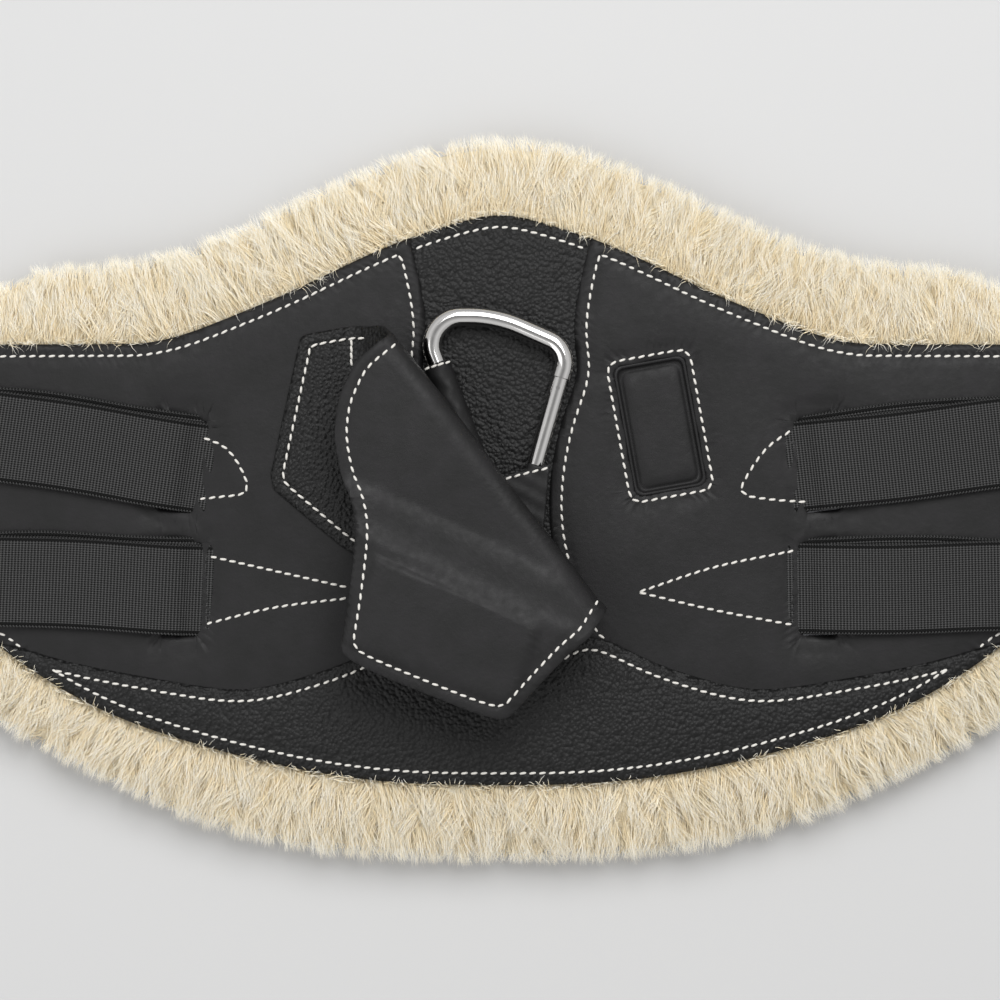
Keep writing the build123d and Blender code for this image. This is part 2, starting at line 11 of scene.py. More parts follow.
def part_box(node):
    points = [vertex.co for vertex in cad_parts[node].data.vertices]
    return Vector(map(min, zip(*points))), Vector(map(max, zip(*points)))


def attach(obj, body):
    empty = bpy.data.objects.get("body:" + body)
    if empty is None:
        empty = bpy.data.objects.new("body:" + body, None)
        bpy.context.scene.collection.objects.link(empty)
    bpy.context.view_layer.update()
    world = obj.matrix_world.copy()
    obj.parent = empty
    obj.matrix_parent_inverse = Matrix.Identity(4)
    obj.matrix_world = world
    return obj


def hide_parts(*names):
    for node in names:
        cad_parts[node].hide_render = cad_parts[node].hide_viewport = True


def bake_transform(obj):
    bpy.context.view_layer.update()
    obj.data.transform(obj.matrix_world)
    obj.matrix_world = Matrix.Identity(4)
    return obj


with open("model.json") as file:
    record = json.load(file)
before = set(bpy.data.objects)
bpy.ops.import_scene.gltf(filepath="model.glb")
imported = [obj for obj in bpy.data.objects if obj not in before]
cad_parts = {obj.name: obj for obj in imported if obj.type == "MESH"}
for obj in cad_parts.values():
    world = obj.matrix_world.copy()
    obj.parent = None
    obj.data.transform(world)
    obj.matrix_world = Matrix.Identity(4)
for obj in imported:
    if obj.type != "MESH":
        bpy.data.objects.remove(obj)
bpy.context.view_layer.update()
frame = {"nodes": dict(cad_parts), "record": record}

# Looks of a short saddle girth that lies on its wool. Metres; +Y is its front edge, +Z is up.
rng = np.random.default_rng(7)
MM = 0.001

joints = {j["name"]: j for j in frame["record"]["behaviour"]["joints"]}
panel_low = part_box("left_panel")[0][2]
panel_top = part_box("left_panel")[1][2]
belly_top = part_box("belly_panel")[1][2]
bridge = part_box("flap_base")[1][2] - 1.3 * MM
hinge = Vector(joints["flap_fold"]["pos_m"])
roll_radius = hinge.z - bridge

# driving sizes that several pieces share
skin_thick = 0.0016
seam_inset = 0.005
stitch_pitch = 0.0041
strap_half = 0.019
ply = 0.002
bar_radius = 0.0023
slit_x = 0.130
upper_lift = 0.0034
flap_half = 0.0013
strap_names = ("left_front", "left_rear", "right_front", "right_rear")


# ---- materials ----
def new_material(name, colour, roughness, **sockets):
    """A Principled material and its node tree's helpers."""
    material = bpy.data.materials.new(name)
    material.use_nodes = True
    shader = material.node_tree.nodes["Principled BSDF"]
    shader.inputs["Base Color"].default_value = (*colour, 1)
    shader.inputs["Roughness"].default_value = roughness
    for socket, value in sockets.items():
        shader.inputs[socket.replace("_", " ")].default_value = value
    return material, material.node_tree, shader


def object_point(tree):
    """Object coordinates, in metres."""
    return tree.nodes.new("ShaderNodeTexCoord").outputs["Object"]


def noise(tree, point, scale, detail=3.0, roughness=0.55):
    """A noise texture's value, with scale cells to a metre."""
    node = tree.nodes.new("ShaderNodeTexNoise")
    node.inputs["Scale"].default_value = scale
    node.inputs["Detail"].default_value = detail
    node.inputs["Roughness"].default_value = roughness
    tree.links.new(point, node.inputs["Vector"])
    return node.outputs["Fac"]


def ramp(tree, value, stops):
    """A colour ramp through (position, colour) stops."""
    node = tree.nodes.new("ShaderNodeValToRGB")
    while len(node.color_ramp.elements) < len(stops):
        node.color_ramp.elements.new(0.5)
    for element, (position, colour) in zip(node.color_ramp.elements, stops):
        element.position = position
        element.color = (*colour, 1)
    tree.links.new(value, node.inputs["Fac"])
    return node.outputs["Color"]


def bump(tree, shader, height, strength, distance, under=None):
    """A bump from height, laid over another bump if one is given."""
    node = tree.nodes.new("ShaderNodeBump")
    node.inputs["Strength"].default_value = strength
    node.inputs["Distance"].default_value = distance
    tree.links.new(height, node.inputs["Height"])
    if under:
        tree.links.new(under, node.inputs["Normal"])
    tree.links.new(node.outputs["Normal"], shader.inputs["Normal"])
    return node.outputs["Normal"]


def maths(tree, operation, a, b):
    """The result of a maths node on two numbers or sockets."""
    node = tree.nodes.new("ShaderNodeMath")
    node.operation = operation
    for socket, value in zip(node.inputs, (a, b)):
        if isinstance(value, (int, float)):
            socket.default_value = value
        else:
            tree.links.new(value, socket)
    return node.outputs[0]


def grey(value):
    return (value, value, value)


def smooth_leather(name, tone=0.009):
    """Matte black leather with fine pores and faint mottling."""
    material, tree, shader = new_material(name, grey(tone), 0.5)
    shader.inputs["Specular IOR Level"].default_value = 0.22
    point = object_point(tree)
    mottle = noise(tree, point, 90, 5)
    colour = ramp(tree, mottle, [(0.3, grey(tone * 0.82)), (0.7, (tone * 1.22, tone * 1.17, tone * 1.24))])
    tree.links.new(colour, shader.inputs["Base Color"])
    rough = ramp(tree, noise(tree, point, 260, 4), [(0.3, grey(0.46)), (0.75, grey(0.62))])
    tree.links.new(rough, shader.inputs["Roughness"])
    fine = noise(tree, point, 2600, 2)
    soft = noise(tree, point, 420, 4)
    under = bump(tree, shader, fine, 0.16, 0.0003)
    bump(tree, shader, soft, 0.22, 0.0006, under)
    return material


def grained_leather(name, tone=0.006, grain=620):
    """Pebbled black leather, with painted shade in the creases between the pebbles and painted light on
    their tops.
    """
    material, tree, shader = new_material(name, grey(tone), 0.5)
    shader.inputs["Specular IOR Level"].default_value = 0.24
    point = object_point(tree)
    cells = tree.nodes.new("ShaderNodeTexVoronoi")
    cells.feature = "SMOOTH_F1"
    cells.inputs["Scale"].default_value = grain
    cells.inputs["Smoothness"].default_value = 0.45
    cells.inputs["Randomness"].default_value = 0.95
    tree.links.new(point, cells.inputs["Vector"])
    pebble = maths(tree, "MULTIPLY", cells.outputs["Distance"], -1.0)
    height = maths(tree, "ADD", pebble, maths(tree, "MULTIPLY", noise(tree, point, grain * 0.8, 3), 0.7))
    # painted shade and light: darker in the creases between pebbles, lighter on the pebble tops, following
    # the bump's height
    colour = ramp(tree, cells.outputs["Distance"], [(0.1, grey(tone * 1.5)), (0.75, grey(tone * 0.45))])
    tree.links.new(colour, shader.inputs["Base Color"])
    bump(tree, shader, height, 0.75, 0.0009)
    return material


def elastic_material(name):
    """Ribbed elastic webbing, with painted shade in the gaps between its ribs and along a sunk line inside
    each selvedge. It uses the strip's own UVs, in metres.
    """
    rib_pitch, warp_pitch = 0.00135, 0.00095
    material, tree, shader = new_material(name, grey(0.02), 0.8)
    shader.inputs["Specular IOR Level"].default_value = 0.2
    uv = tree.nodes.new("ShaderNodeUVMap")
    uv.uv_map = "strip"
    parts = tree.nodes.new("ShaderNodeSeparateXYZ")
    tree.links.new(uv.outputs["UV"], parts.inputs["Vector"])
    along = maths(tree, "SINE", maths(tree, "MULTIPLY", parts.outputs["X"], 2 * math.pi / rib_pitch), 0)
    across = maths(tree, "SINE", maths(tree, "MULTIPLY", parts.outputs["Y"], 2 * math.pi / warp_pitch), 0)
    rib = maths(tree, "ADD", maths(tree, "MULTIPLY", along, 0.6), maths(tree, "MULTIPLY", across, 0.5))
    level = maths(tree, "ADD", maths(tree, "MULTIPLY", rib, 0.3), 0.5)
    # painted shade: a dark line inside each selvedge, standing in for the shadow in the sunk gap there
    from_middle = maths(tree, "MULTIPLY", maths(tree, "ABSOLUTE", parts.outputs["Y"], 0), 1 / strap_half)
    stops = [(0.89, grey(1.0)), (0.915, grey(0.1)), (0.945, grey(0.1)), (0.965, grey(1.0))]
    line = ramp(tree, from_middle, stops)
    level = maths(tree, "MULTIPLY", level, line)
    # painted shade and light: the colour follows the rib height, dark in the gaps between ribs and lighter
    # on their crests
    colour = ramp(tree, level, [(0.3, grey(0.003)), (0.72, grey(0.075))])
    tree.links.new(colour, shader.inputs["Base Color"])
    bump(tree, shader, rib, 0.9, 0.0005)
    return material


def plain(name, colour, roughness, **sockets):
    return new_material(name, colour, roughness, **sockets)[0]


def brushed(name, colour, roughness, grain):
    """Metal with faint fine marks."""
    material, tree, shader = new_material(name, colour, roughness, Metallic=1.0)
    point = object_point(tree)
    marks = noise(tree, point, grain, 4)
    rough = ramp(tree, marks, [(0.3, grey(roughness * 0.7)), (0.8, grey(roughness * 1.5))])
    tree.links.new(rough, shader.inputs["Roughness"])
    return material


smooth = smooth_leather("panel_leather")
lining = smooth_leather("lining_leather", 0.010)
grained = grained_leather("grained_leather")
steel = brushed("polished_steel", (0.62, 0.61, 0.60), 0.12, 300)
dull_steel = brushed("dull_steel", (0.45, 0.45, 0.46), 0.35, 500)
thread = plain("thread", (0.62, 0.60, 0.56), 0.7, Specular_IOR_Level=0.3)
elastic = elastic_material("elastic_weave")
raw_edge = plain("cut_leather_edge", (0.008, 0.0078, 0.0078), 0.8, Specular_IOR_Level=0.2)


# ---- mesh helpers ----
def add_mesh(name, vertices, faces, materials, slots=None):
    """A smooth-shaded object. slots gives each face's material."""
    mesh = bpy.data.meshes.new(name)
    mesh.from_pydata([tuple(v) for v in vertices], [], [tuple(f) for f in faces])
    for material in materials:
        mesh.materials.append(material)
    if slots is not None:
        mesh.polygons.foreach_set("material_index", np.asarray(slots, np.int32))
    mesh.polygons.foreach_set("use_smooth", np.ones(len(mesh.polygons), bool))
    mesh.update()
    piece = bpy.data.objects.new(name, mesh)
    bpy.context.scene.collection.objects.link(piece)
    return piece


def applied(piece):
    """The same object with its modifiers worked into its mesh."""
    bpy.context.view_layer.update()
    graph = bpy.context.evaluated_depsgraph_get()
    mesh = bpy.data.meshes.new_from_object(piece.evaluated_get(graph))
    piece.modifiers.clear()
    piece.data = mesh
    return piece


def node_object(node):
    entry = frame["nodes"][node]
    return entry if isinstance(entry, bpy.types.Object) else bpy.data.objects[node]


def top_outline(node):
    """The closed loops round a node's upper flat face, as arrays of x, y, longest first."""
    mesh = node_object(node).data
    source = bmesh.new()
    source.from_mesh(mesh)
    bmesh.ops.remove_doubles(source, verts=source.verts, dist=1e-6)
    high = max(v.co.z for v in source.verts)
    flat = [f for f in source.faces if abs(f.normal.z) > 0.9]
    keep = [f for f in flat if all(abs(v.co.z - high) < 2e-5 for v in f.verts)]
    chosen = set(keep)
    link = {}
    for face in keep:
        for edge in face.edges:
            if sum(1 for f in edge.link_faces if f in chosen) == 1:
                a, b = edge.verts
                link.setdefault(a, []).append(b)
                link.setdefault(b, []).append(a)
    loops, used = [], set()
    for start in link:
        if start in used:
            continue
        loop, here, before = [], start, None
        while here not in used:
            used.add(here)
            loop.append((here.co.x, here.co.y))
            onward = [v for v in link[here] if v is not before and v not in used]
            if not onward:
                break
            before, here = here, onward[0]
        loops.append(np.array(loop))
    source.free()
    return sorted(loops, key=lambda p: -np.abs(shoelace(p)))


def shoelace(p):
    """The signed area of a closed loop, positive when it runs anticlockwise."""
    q = np.roll(p, -1, axis=0)
    return 0.5 * np.sum(p[:, 0] * q[:, 1] - q[:, 0] * p[:, 1])


def even(points, step, closed=True):
    """The line through points, cut into equal steps."""
    p = np.vstack([points, points[:1]]) if closed else np.asarray(points, float)
    run = np.concatenate([[0], np.cumsum(np.linalg.norm(np.diff(p, axis=0), axis=1))])
    count = max(4, int(round(run[-1] / step)))
    spots = np.linspace(0, run[-1], count + 1)
    if closed:
        spots = spots[:-1]
    return np.stack([np.interp(spots, run, p[:, k]) for k in range(p.shape[1])], axis=1)


def curve_through(points, step=0.001):
    """A smooth open line through given points (Catmull-Rom)."""
    p = np.asarray(points, float)
    p = np.vstack([2 * p[0] - p[1], p, 2 * p[-1] - p[-2]])
    out = []
    for k in range(1, len(p) - 2):
        for t in np.linspace(0, 1, 12, endpoint=False):
            a, b, c, d = p[k - 1:k + 3]
            square, cube = 2 * a - 5 * b + 4 * c - d, 3 * b - a - 3 * c + d
            out.append(0.5 * (2 * b + (c - a) * t + square * t**2 + cube * t**3))
    out.append(p[-2])
    return even(np.array(out), step, closed=False)


def inside(points, loop):
    """Which x, y points lie inside a closed loop."""
    x, y = points[:, 0][:, None], points[:, 1][:, None]
    ax, ay = loop[:, 0], loop[:, 1]
    bx, by = np.roll(ax, -1), np.roll(ay, -1)
    crosses = ((ay > y) != (by > y)) & (x < (bx - ax) * (y - ay) / (by - ay + 1e-15) + ax)
    return crosses.sum(axis=1) % 2 == 1


def edge_distance(points, loops):
    """Distance from each x, y point to the nearest loop."""
    best = np.full(len(points), 1e9)
    for loop in loops:
        a, b = loop, np.roll(loop, -1, axis=0)
        d = b - a
        size = np.maximum((d**2).sum(axis=1), 1e-18)
        for k in range(0, len(points), 4000):
            part = points[k:k + 4000]
            t = np.clip(((part[:, None] - a) * d).sum(axis=2) / size, 0, 1)
            gap = np.linalg.norm(part[:, None] - (a + t[..., None] * d), axis=2).min(axis=1)
            best[k:k + 4000] = np.minimum(best[k:k + 4000], gap)
    return best


def grid_sheet(loops, cell):
    """A flat sheet bounded by loops (the first is the outside), cut into a fine grid. Returns a bmesh."""
    sheet = bmesh.new()
    edges = []
    for loop in loops:
        corners = [sheet.verts.new((x, y, 0)) for x, y in loop]
        edges += [sheet.edges.new((a, b)) for a, b in zip(corners, corners[1:] + corners[:1])]
    bmesh.ops.triangle_fill(sheet, use_beauty=True, use_dissolve=False, edges=edges)
    low, high = loops[0].min(axis=0), loops[0].max(axis=0)
    for axis in (0, 1):
        normal = (1, 0, 0) if axis == 0 else (0, 1, 0)
        for spot in np.arange(low[axis] + cell / 2, high[axis], cell):
            point = (spot, 0, 0) if axis == 0 else (0, spot, 0)
            everything = sheet.verts[:] + sheet.edges[:] + sheet.faces[:]
            bmesh.ops.bisect_plane(sheet, geom=everything, plane_co=point, plane_no=normal, dist=2e-5)
    for face in sheet.faces:
        if face.normal.z < 0:
            face.normal_flip()
    return sheet


def leather_piece(node, material, top, thick, puff=0.0009):
    """A leather panel: the node's outline, softly stuffed by puff and drawn in along the seam."""
    rim_step, cell = 0.0016, 0.003
    loops = [even(loop, rim_step) for loop in top_outline(node)]
    sheet = grid_sheet(loops, cell)
    sheet.verts.ensure_lookup_table()
    xy = np.array([v.co.to_tuple()[:2] for v in sheet.verts])
    away = edge_distance(xy, loops)
    rise = puff * (1 - np.exp(-np.maximum(away - seam_inset, 0) / 0.008))
    seam = -0.0007 * np.exp(-((away - seam_inset) / 0.0011) ** 2)
    turned = -0.0011 * np.exp(-away / 0.0007)
    wave = 0.0003 * np.sin(xy[:, 0] * 61 + 1.3) * np.sin(xy[:, 1] * 83 + 0.4)
    z = top + rise + seam + turned + wave * np.clip(away / 0.02, 0, 1)
    for vertex, height in zip(sheet.verts, z):
        vertex.co.z = height
    rim = [e for e in sheet.edges if len(e.link_faces) == 1]
    made = bmesh.ops.extrude_edge_only(sheet, edges=rim)["geom"]
    for vertex in made:
        if isinstance(vertex, bmesh.types.BMVert):
            vertex.co.z = top - thick
    mesh = bpy.data.meshes.new(f"{node}_skin")
    sheet.to_mesh(mesh)
    sheet.free()
    mesh.materials.append(material)
    mesh.polygons.foreach_set("use_smooth", np.ones(len(mesh.polygons), bool))
    piece = bpy.data.objects.new(f"{node}_skin", mesh)
    bpy.context.scene.collection.objects.link(piece)
    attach(piece, "girth")
    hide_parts(node)
    return piece, loops


def skin_top(*skins):
    """A function that gives the height of the topmost of some skins at x, y."""
    trees = []
    for skin in skins:
        work = bmesh.new()
        work.from_mesh(skin.data)
        trees.append(BVHTree.FromBMesh(work))
        work.free()

    def height(x, y):
        found = [tree.ray_cast(Vector((x, y, 0.2)), Vector((0, 0, -1)))[0] for tree in trees]
        found = [spot.z for spot in found if spot]
        return max(found) if found else panel_top

    return height


# ---- stitches: slightly slanted thread beads that dip into the leather at both ends ----
def stitch_row(name, lines, height, body="girth", blend=None, under=False):
    """One piece with a bead of thread for each stitch.

    Each line is an array of x, y, or of x, y, z. height(x, y) gives the surface where a line has no z.
    """
    ring, stations = 6, (-1.0, -0.8, -0.35, 0.35, 0.8, 1.0)
    swell = (0.15, 0.75, 1.0, 1.0, 0.75, 0.15)
    sink = (-0.9, -0.15, 0.35, 0.35, -0.15, -0.9)
    half, radius, slant = 0.00158, 0.00052, 0.13
    vertices, faces = [], []
    for line in lines:
        spots = even(np.asarray(line), stitch_pitch, closed=False)
        for a, b in zip(spots[:-1], spots[1:]):
            middle = (a[:3] + b[:3]) / 2 if len(a) > 2 else np.append((a + b) / 2, 0)
            heading = np.append(b[:2] - a[:2], (b[2] - a[2]) if len(a) > 2 else 0)
            heading /= np.linalg.norm(heading)
            side = np.cross((0, 0, 1), heading)
            side /= np.linalg.norm(side)
            heading = heading + side * slant
            heading /= np.linalg.norm(heading)
            up = np.cross(heading, side) * (-1 if under else 1)
            base = len(vertices)
            ground = middle[2] if len(a) > 2 else height(middle[0], middle[1])
            centre = np.array([middle[0], middle[1], ground])
            for s, grow, dip in zip(stations, swell, sink):
                spot = centre + heading * s * half + up * dip * radius
                for k in range(ring):
                    turn = 2 * math.pi * k / ring
                    rim = side * math.cos(turn) + up * math.sin(turn) * 0.8
                    vertices.append(spot + rim * radius * grow)
            for s in range(len(stations) - 1):
                here, onward = base + s * ring, base + (s + 1) * ring
                for k in range(ring):
                    n = (k + 1) % ring
                    faces.append((here + k, here + n, onward + n, onward + k))
            faces.append([base + k for k in reversed(range(ring))])
            faces.append([base + (len(stations) - 1) * ring + k for k in range(ring)])
    piece = add_mesh(name, vertices, faces, [thread])
    if blend:
        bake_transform(piece)
    else:
        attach(piece, body)
    return piece


def inset(loop, distance):
    """A closed loop moved inwards."""
    p = even(loop, 0.0015)
    if shoelace(p) < 0:
        p = p[::-1]
    run = np.roll(p, -2, axis=0) - np.roll(p, 2, axis=0)
    run /= np.linalg.norm(run, axis=1)[:, None]
    moved = p + np.stack([-run[:, 1], run[:, 0]], axis=1) * distance
    return moved[edge_distance(moved, [p]) > distance * 0.93]


def open_runs(points, keep):
    """The stretches of a closed line where keep holds."""
    if keep.all():
        return [np.vstack([points, points[:1]])]
    start = int(np.argmin(keep))
    p, k = np.roll(points, -start, axis=0), np.roll(keep, -start)
    runs, here = [], []
    for spot, ok in zip(p, k):
        if ok:
            here.append(spot)
        elif here:
            runs.append(np.array(here))
            here = []
    if here:
        runs.append(np.array(here))
    return [r for r in runs if len(r) > 8]


# ---- leather panels ----
centre, centre_loops = leather_piece("centre_panel", grained, panel_low, skin_thick, puff=0.0004)
left, left_loops = leather_piece("left_panel", smooth, panel_top, skin_thick)
right, right_loops = leather_piece("right_panel", smooth, panel_top, skin_thick)
belly, belly_loops = leather_piece("belly_panel", grained, belly_top, 2 * skin_thick, puff=0.0007)
belly_loop = belly_loops[0]
lines = []
for loops in (left_loops, right_loops):
    line = inset(loops[0], seam_inset)
    lines += open_runs(line, ~inside(line, belly_loop))
line = inset(belly_loop, seam_inset)
belly_line = open_runs(line, np.ones(len(line), bool))
line = inset(centre_loops[0], seam_inset)
clear = ~inside(line, belly_loop) & ~inside(line, left_loops[0]) & ~inside(line, right_loops[0])
# the row shows only in front of the side panels
clear &= line[:, 1] > 0.09
centre_line = open_runs(line, clear)


def mm(points):
    return np.array(points, float) * MM


# V-shaped rows that anchor the elastics under the panels.
anchors = [
    curve_through(mm([(-125, 26.5), (-115, 22), (-108, 12), (-106.5, 3.5), (-118, 1.5), (-131, 0.2)])),
    curve_through(mm([(-122, -23.4), (-95, -29.5), (-64, -36.5)])),
    curve_through(mm([(-124, -52), (-95, -45), (-64, -41)])),
    curve_through(mm([(122.5, 29.5), (112, 22), (103.5, 10), (101.5, 3), (113, 0.5), (129, -0.7)])),
    curve_through(mm([(58, -38.5), (90, -28), (124, -21)])),
    curve_through(mm([(58, -38.5), (90, -46), (123, -52.3)])),
]
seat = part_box("magnet_seat")
seat_middle = np.array([(seat[0][0] + seat[1][0]) / 2, (seat[0][1] + seat[1][1]) / 2])
seat_turn = math.radians(10.2)
seat_x = np.array([math.cos(seat_turn), math.sin(seat_turn)])
seat_y = np.array([-math.sin(seat_turn), math.cos(seat_turn)])


def seat_box(wide, tall, corner):
    """A rounded rectangle round the magnet seat."""
    spots = []
    for sx, sy, first in ((1, 1, 0), (-1, 1, 90), (-1, -1, 180), (1, -1, 270)):
        for step in range(0, 91, 15):
            angle = math.radians(first + step)
            x = sx * (wide / 2 - corner) + corner * math.cos(angle)
            y = sy * (tall / 2 - corner) + corner * math.sin(angle)
            spots.append(seat_middle + seat_x * x + seat_y * y)
    spots.append(spots[0])
    return np.array(spots)


anchors.append(seat_box(0.0355, 0.0600, 0.004))


def make_seat():
    """The sunk magnet seat: leather moulded down into the window, with a soft raised floor."""
    # width, height and level of each ring (mm), from the rim down the wall and over the floor
    rings = [(30.2, 55.2, 0.0), (28.4, 53.4, -0.1), (27.9, 52.9, -0.6), (27.5, 52.5, -1.7)]
    rings += [(26.6, 51.6, -2.5), (25.0, 50.0, -2.6), (23.8, 48.8, -2.1), (21.5, 46.5, -1.6)]
    rings += [(16.0, 40.0, -1.4), (9.0, 32.0, -1.3), (3.0, 25.0, -1.3)]
    around = 120
    vertices, faces = [], []
    for wide, tall, drop in mm(rings):
        loop = even(seat_box(wide, tall, min(0.0030, wide * 0.3))[:-1], 0.001)
        loop = loop[np.linspace(0, len(loop) - 1, around).astype(int)]
        start = np.argmax(loop @ (seat_x + seat_y * 3))
        loop = np.roll(loop, -start, axis=0)
        vertices += [(x, y, panel_top + drop) for x, y in loop]
    for k in range(len(rings) - 1):
        for s in range(around):
            n = (s + 1) % around
            faces.append((k * around + s, k * around + n, (k + 1) * around + n, (k + 1) * around + s))
    faces.append([(len(rings) - 1) * around + s for s in range(around)])
    piece = add_mesh("magnet_seat_leather", vertices, faces, [smooth])
    solid = piece.modifiers.new("thick", "SOLIDIFY")
    solid.thickness = 0.0008
    solid.offset = -1 if piece.data.polygons[0].normal.z > 0 else 1
    applied(piece)
    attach(piece, "girth")
    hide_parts("magnet_seat")


make_seat()

stitch_row("side_panel_stitches", lines + anchors, skin_top(left, right))
stitch_row("belly_panel_stitches", belly_line, skin_top(belly))
stitch_row("centre_panel_stitches", centre_line, skin_top(centre))


# ---- soft pieces made from a few curves ----
def strap_frame(name):
    """Heel bar centre, outward direction and across direction of one elastic, from its buckle's joint."""
    joint = joints[f"{name}_buckle_swing"]
    heel = np.array(joint["pos_m"])
    axis = joint["axis"]
    along = np.array([-axis[1], axis[0], 0])
    along /= np.linalg.norm(along)
    front = np.array([-along[1], along[0], 0])
    if front[1] < 0:
        front = -front
    return heel, along, front


def strap_path(heel_z, slit):
    """Middle line of the webbing: out along the panel, down round the heel bar and back on top of itself."""
    low, high = panel_top + 0.0013, panel_top + upper_lift
    turn = bar_radius + 0.0003 + ply / 2
    under = [
        (slit - 0.012, panel_low - 0.0012), (slit - 0.004, panel_low - 0.001),
        (slit + 0.002, panel_top - 0.001), (slit + 0.009, low), (slit + 0.03, low),
        (-0.055, low), (-0.038, low), (-0.0330, low - 0.0003), (-0.0308, low - 0.0022),
        (-0.0265, 0.0182), (-0.0222, 0.0124), (-0.0150, 0.0082), (-0.0085, 0.0050),
    ]
    angles = np.radians(range(-35, 176, 35))
    ring = [(turn * math.sin(a), heel_z - turn * math.cos(a)) for a in angles]
    over = [
        (-0.0035, heel_z + turn + 0.0006), (-0.0085, 0.0086), (-0.0150, 0.0107), (-0.0213, 0.0142),
        (-0.0250, 0.0191), (-0.0283, 0.0240), (-0.0310, 0.0276), (-0.0338, high - 0.0002),
        (-0.038, high), (-0.055, high), (slit + 0.03, high), (slit + 0.009, high),
        (slit + 0.001, panel_top - 0.0002), (slit - 0.004, panel_low + 0.0006),
        (slit - 0.012, panel_low + 0.0004),
    ]
    return curve_through(under + ring + over, step=0.000675)


def make_elastic(name):
    """One doubled elastic: ribbed webbing with nibbled edges, its two layers a little out of line."""
    heel, along, front = strap_frame(name)
    slit = -(abs(heel[0]) - slit_x) / abs(along[0])
    path = strap_path(heel[2], slit)
    count, lanes = len(path), 19
    run = np.concatenate([[0], np.cumsum(np.linalg.norm(np.diff(path, axis=0), axis=1))])
    ring_at = run[np.argmax(path[:, 0])]
    # the under layer lies a little further to the front than the upper one
    shift = 0.0028 * (0.5 - 0.5 * np.tanh((run - ring_at + 0.07) / 0.02))
    shift += 0.0004 * np.sin(run * 71 + heel[0] * 40)
    vertices, uvs = [], []
    for k, (u, z) in enumerate(path):
        nibble = 0.00028 * (1 if k % 2 else -1)
        for lane in range(lanes):
            part = -1 + 2 * lane / (lanes - 1)
            v = part * strap_half + shift[k]
            if lane in (0, lanes - 1):
                v += nibble * part
            curl = 0.00035 * abs(part) ** 6 * min(1, max(0, abs(run[k] - ring_at) / 0.01 - 1))
            spot = heel + along * u + front * v
            vertices.append((spot[0], spot[1], z - curl * (1 if run[k] > ring_at else -1)))
            uvs.append((run[k], part * strap_half))
    faces = []
    for k in range(count - 1):
        for lane in range(lanes - 1):
            middle = -1 + 2 * (lane + 0.5) / (lanes - 1)
            # the slot that the buckle's tongue stands in
            if path[k, 0] > -0.0162 and abs(middle * strap_half + shift[k]) < 0.0036:
                continue
            a = k * lanes + lane
            faces.append((a, a + 1, a + lanes + 1, a + lanes))
    piece = add_mesh(f"{name}_elastic_weave", vertices, faces, [elastic])
    layer = piece.data.uv_layers.new(name="strip")
    for loop in piece.data.loops:
        layer.data[loop.index].uv = uvs[loop.vertex_index]
    loose = bmesh.new()
    loose.from_mesh(piece.data)
    bmesh.ops.delete(loose, geom=[v for v in loose.verts if not v.link_faces], context="VERTS")
    loose.to_mesh(piece.data)
    loose.free()
    solid = piece.modifiers.new("thick", "SOLIDIFY")
    solid.thickness = ply * 0.9
    solid.offset = 0
    applied(piece)
    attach(piece, "girth")
    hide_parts(f"{name}_elastic")
    # box stitching that holds the two layers together beside the buckle
    rows = []
    for u in (-0.036, -0.040):
        spots = [heel + along * u + front * v for v in np.linspace(-0.0165, 0.0165, 12)]
        rows.append(np.array([(p[0], p[1]) for p in spots]))
    stitch_row(f"{name}_bar_tack", rows, lambda x, y: panel_top + upper_lift + ply * 0.45)


for strap in strap_names:
    make_elastic(strap)


# ---- keeper: the CAD sleeve, rounded and creased like folded leather ----
def make_keeper():
    source = node_object("carabiner_keeper")
    piece = bpy.data.objects.new("keeper_leather", source.data.copy())
    bpy.context.scene.collection.objects.link(piece)
    piece.data.materials.clear()
    piece.data.materials.append(smooth)
    voxels = piece.modifiers.new("voxels", "REMESH")
    voxels.mode = "VOXEL"
    voxels.voxel_size = 0.0006
    soften = piece.modifiers.new("soften", "SMOOTH")
    soften.factor = 0.5
    soften.iterations = 6
    applied(piece)
    co = np.array([v.co for v in piece.data.vertices])
    crease = 0.00012 * np.sin(co[:, 1] * 900 + co[:, 0] * 500)
    crease = crease + 0.00015 * np.sin(co[:, 1] * 410 - co[:, 0] * 700)
    lifted = np.maximum(co[:, 2] - panel_low - 0.002, 0) / 0.01
    co[:, 2] += crease * np.clip(lifted, 0, 1)
    piece.data.vertices.foreach_set("co", co.ravel())
    piece.data.polygons.foreach_set("use_smooth", np.ones(len(piece.data.polygons), bool))
    piece.data.update()
    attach(piece, "girth")
    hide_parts("carabiner_keeper")
    return piece


keeper = make_keeper()

# ---- cover flap: one sheet of two leathers, from its sewn base round the fold to its free end ----
fold_axis = -np.array(joints["flap_fold"]["axis"][:2])
fold_axis /= np.linalg.norm(fold_axis)
fold_out = np.array([-fold_axis[1], fold_axis[0]])
roll_start = np.array(hinge[:2]) - fold_out * roll_radius * math.pi / 2
roll_run = math.pi * roll_radius


def fold_spot(points):
    """Plan points (mm) as distances along the fold and out from where the roll starts."""
    away = mm(points) - roll_start
    return np.stack([away @ fold_axis, away @ fold_out], axis=1)


base_edge = [(-96.2, 11.1), (-83.8, 68.2), (-82, 69.6), (-66, 72.5), (-58, 73.2)]
base_rear = [(38, -50), (20, -48.5), (0, -47.8), (-33, -41.8), (-67.2, -18.7), (-95.2, 4.9)]
free_end = [(-52, 64.2), (-59, 57.8), (-63.8, 49), (-67.2, 39.7), (-68.4, 26), (-65.6, 10.3)]
free_end += [(-61.7, 0.6), (-59.6, -9.9), (-60.1, -21.2), (-62.2, -39.3)]
free_tip = [(-65.1, -56.5), (-64.3, -62.8), (-54.2, -69.5), (-23.9, -82.1)]
free_tip += [(-6.7, -88.4), (2.1, -89.7), (6.7, -86.3)]
free_rear = [(18.9, -72.9), (29, -62.5), (37.0, -56.2)]


